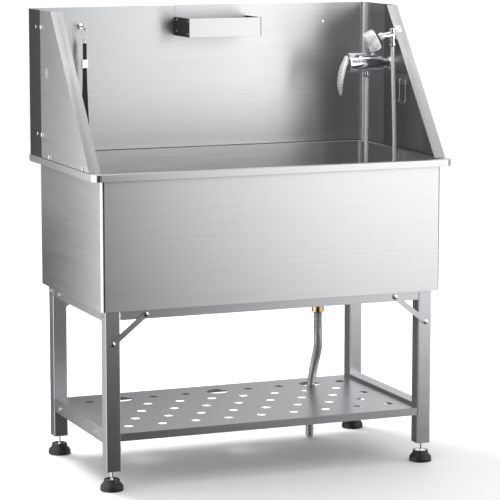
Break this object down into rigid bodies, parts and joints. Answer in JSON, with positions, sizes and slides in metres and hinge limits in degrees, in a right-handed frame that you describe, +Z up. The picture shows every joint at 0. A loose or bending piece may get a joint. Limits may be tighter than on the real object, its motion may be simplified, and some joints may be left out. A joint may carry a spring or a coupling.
{
  "type": "pet bathtub",
  "caption": "Stainless grooming tub on a frame with splash panels, lever mixer, hand shower, drain hose, perforated shelf, soap box, leash and levelling feet.",
  "frame": {"origin": "on the floor, under the middle of the rim", "axes": "+Z up, +X along the tub towards the mixer, +Y towards the back panel"},
  "size_m": [1.194, 0.674, 1.4483],
  "materials": {
    "brushed_steel": "brushed, fine horizontal grain",
    "frame_steel": "satin",
    "chrome": "polished",
    "brass": "polished",
    "rubber": "matte black",
    "black_plastic": "textured black",
    "grey_plastic": "semi-gloss grey",
    "webbing": "woven black nylon"
  },
  "bodies": {
    "root": {"back_panel": "brushed_steel", "brace_front_left": "frame_steel", "brace_front_right": "frame_steel", "brace_rear_left": "frame_steel", "brace_rear_right": "frame_steel", "drain_flange": "chrome", "drain_hose": "grey_plastic", "drain_nut": "brass", "drain_tail": "grey_plastic", "handset_bracket": "chrome", "hook_rack_plate": "brushed_steel", "hook_wire_front": "chrome", "hook_wire_rear": "chrome", "leash_eyebolt": "chrome", "leg_front_left": "frame_steel", "leg_front_right": "frame_steel", "leg_plug_front_left": "black_plastic", "leg_plug_front_right": "black_plastic", "leg_plug_rear_left": "black_plastic", "leg_plug_rear_right": "black_plastic", "leg_rear_left": "frame_steel", "leg_rear_right": "frame_steel", "lower_rail_left": "frame_steel", "lower_rail_right": "frame_steel", "mixer_back_nut": "chrome", "mixer_body": "chrome", "mixer_outlet_nut": "chrome", "mixer_wall_nut": "chrome", "shelf": "brushed_steel", "shower_hose": "chrome", "side_panel_left": "brushed_steel", "side_panel_right": "brushed_steel", "tub_basin": "brushed_steel", "upper_rail_front": "frame_steel", "upper_rail_left": "frame_steel", "upper_rail_rear": "frame_steel", "upper_rail_right": "frame_steel"},
    "mixer_turner": {"mixer_cap": "chrome"},
    "mixer_handle": {"mixer_lever": "chrome"},
    "handset": {"handset_head": "chrome", "handset_comb": "grey_plastic", "handset_neck": "chrome", "handset_hose_nut": "chrome"},
    "strainer": {"drain_strainer": "chrome"},
    "soap_tray": {"soap_box": "brushed_steel", "soap_box_end_left": "black_plastic", "soap_box_end_right": "black_plastic"},
    "snap_hook": {"leash_snap_hook": "chrome"},
    "snap_gate": {"leash_gate": "chrome"},
    "strap": {"leash_swivel": "chrome", "leash_strap": "webbing"},
    "buckle": {"leash_buckle": "chrome"},
    "foot_front_left": {"foot_pad_front_left": "rubber", "foot_stem_front_left": "chrome"},
    "foot_front_right": {"foot_pad_front_right": "rubber", "foot_stem_front_right": "chrome"},
    "foot_rear_left": {"foot_pad_rear_left": "rubber", "foot_stem_rear_left": "chrome"},
    "foot_rear_right": {"foot_pad_rear_right": "rubber", "foot_stem_rear_right": "chrome"}
  },
  "joints": [
    {"name": "foot_height_front_left", "type": "slide", "parent": "root", "child": "foot_front_left", "axis": [0, 0, 1], "range_m": [-0.025, 0.015]},
    {"name": "foot_height_front_right", "type": "slide", "parent": "root", "child": "foot_front_right", "axis": [0, 0, 1], "range_m": [-0.025, 0.015]},
    {"name": "foot_height_rear_left", "type": "slide", "parent": "root", "child": "foot_rear_left", "axis": [0, 0, 1], "range_m": [-0.025, 0.015]},
    {"name": "foot_height_rear_right", "type": "slide", "parent": "root", "child": "foot_rear_right", "axis": [0, 0, 1], "range_m": [-0.025, 0.015]},
    {"name": "mixer_turn", "type": "hinge", "parent": "root", "child": "mixer_turner", "pos_m": [0.45, 0.124, 1.253], "axis": [1, 0, 0], "range_deg": [-45, 45]},
    {"name": "mixer_lift", "type": "hinge", "parent": "mixer_turner", "child": "mixer_handle", "pos_m": [0.4325, 0.124, 1.269], "axis": [0, 1, 0], "range_deg": [0, 25]},
    {"name": "handset_dock", "type": "slide", "parent": "root", "child": "handset", "axis": [0, -1, 0], "range_m": [0, 0.06]},
    {"name": "strainer_lift", "type": "slide", "parent": "root", "child": "strainer", "axis": [0, 0, 1], "range_m": [0, 0.05]},
    {"name": "soap_box_lift", "type": "slide", "parent": "root", "child": "soap_tray", "axis": [0, 0, 1], "range_m": [0, 0.05]},
    {"name": "leash_swing", "type": "hinge", "parent": "root", "child": "snap_hook", "pos_m": [-0.417, 0.284, 1.381], "axis": [1, 0, 0], "range_deg": [-80, 2]},
    {"name": "snap_gate_open", "type": "hinge", "parent": "snap_hook", "child": "snap_gate", "pos_m": [-0.4122, 0.284, 1.35], "axis": [0, -1, 0], "range_deg": [0, 18], "stiffness_Nm_per_rad": 0.03, "springref_deg": -11.46},
    {"name": "swivel_turn", "type": "hinge", "parent": "snap_hook", "child": "strap", "pos_m": [-0.417, 0.284, 1.34], "axis": [0, 0, 1], "continuous": true},
    {"name": "buckle_slide", "type": "slide", "parent": "strap", "child": "buckle", "axis": [0, 0, 1], "range_m": [0, 0.03]}
  ]
}
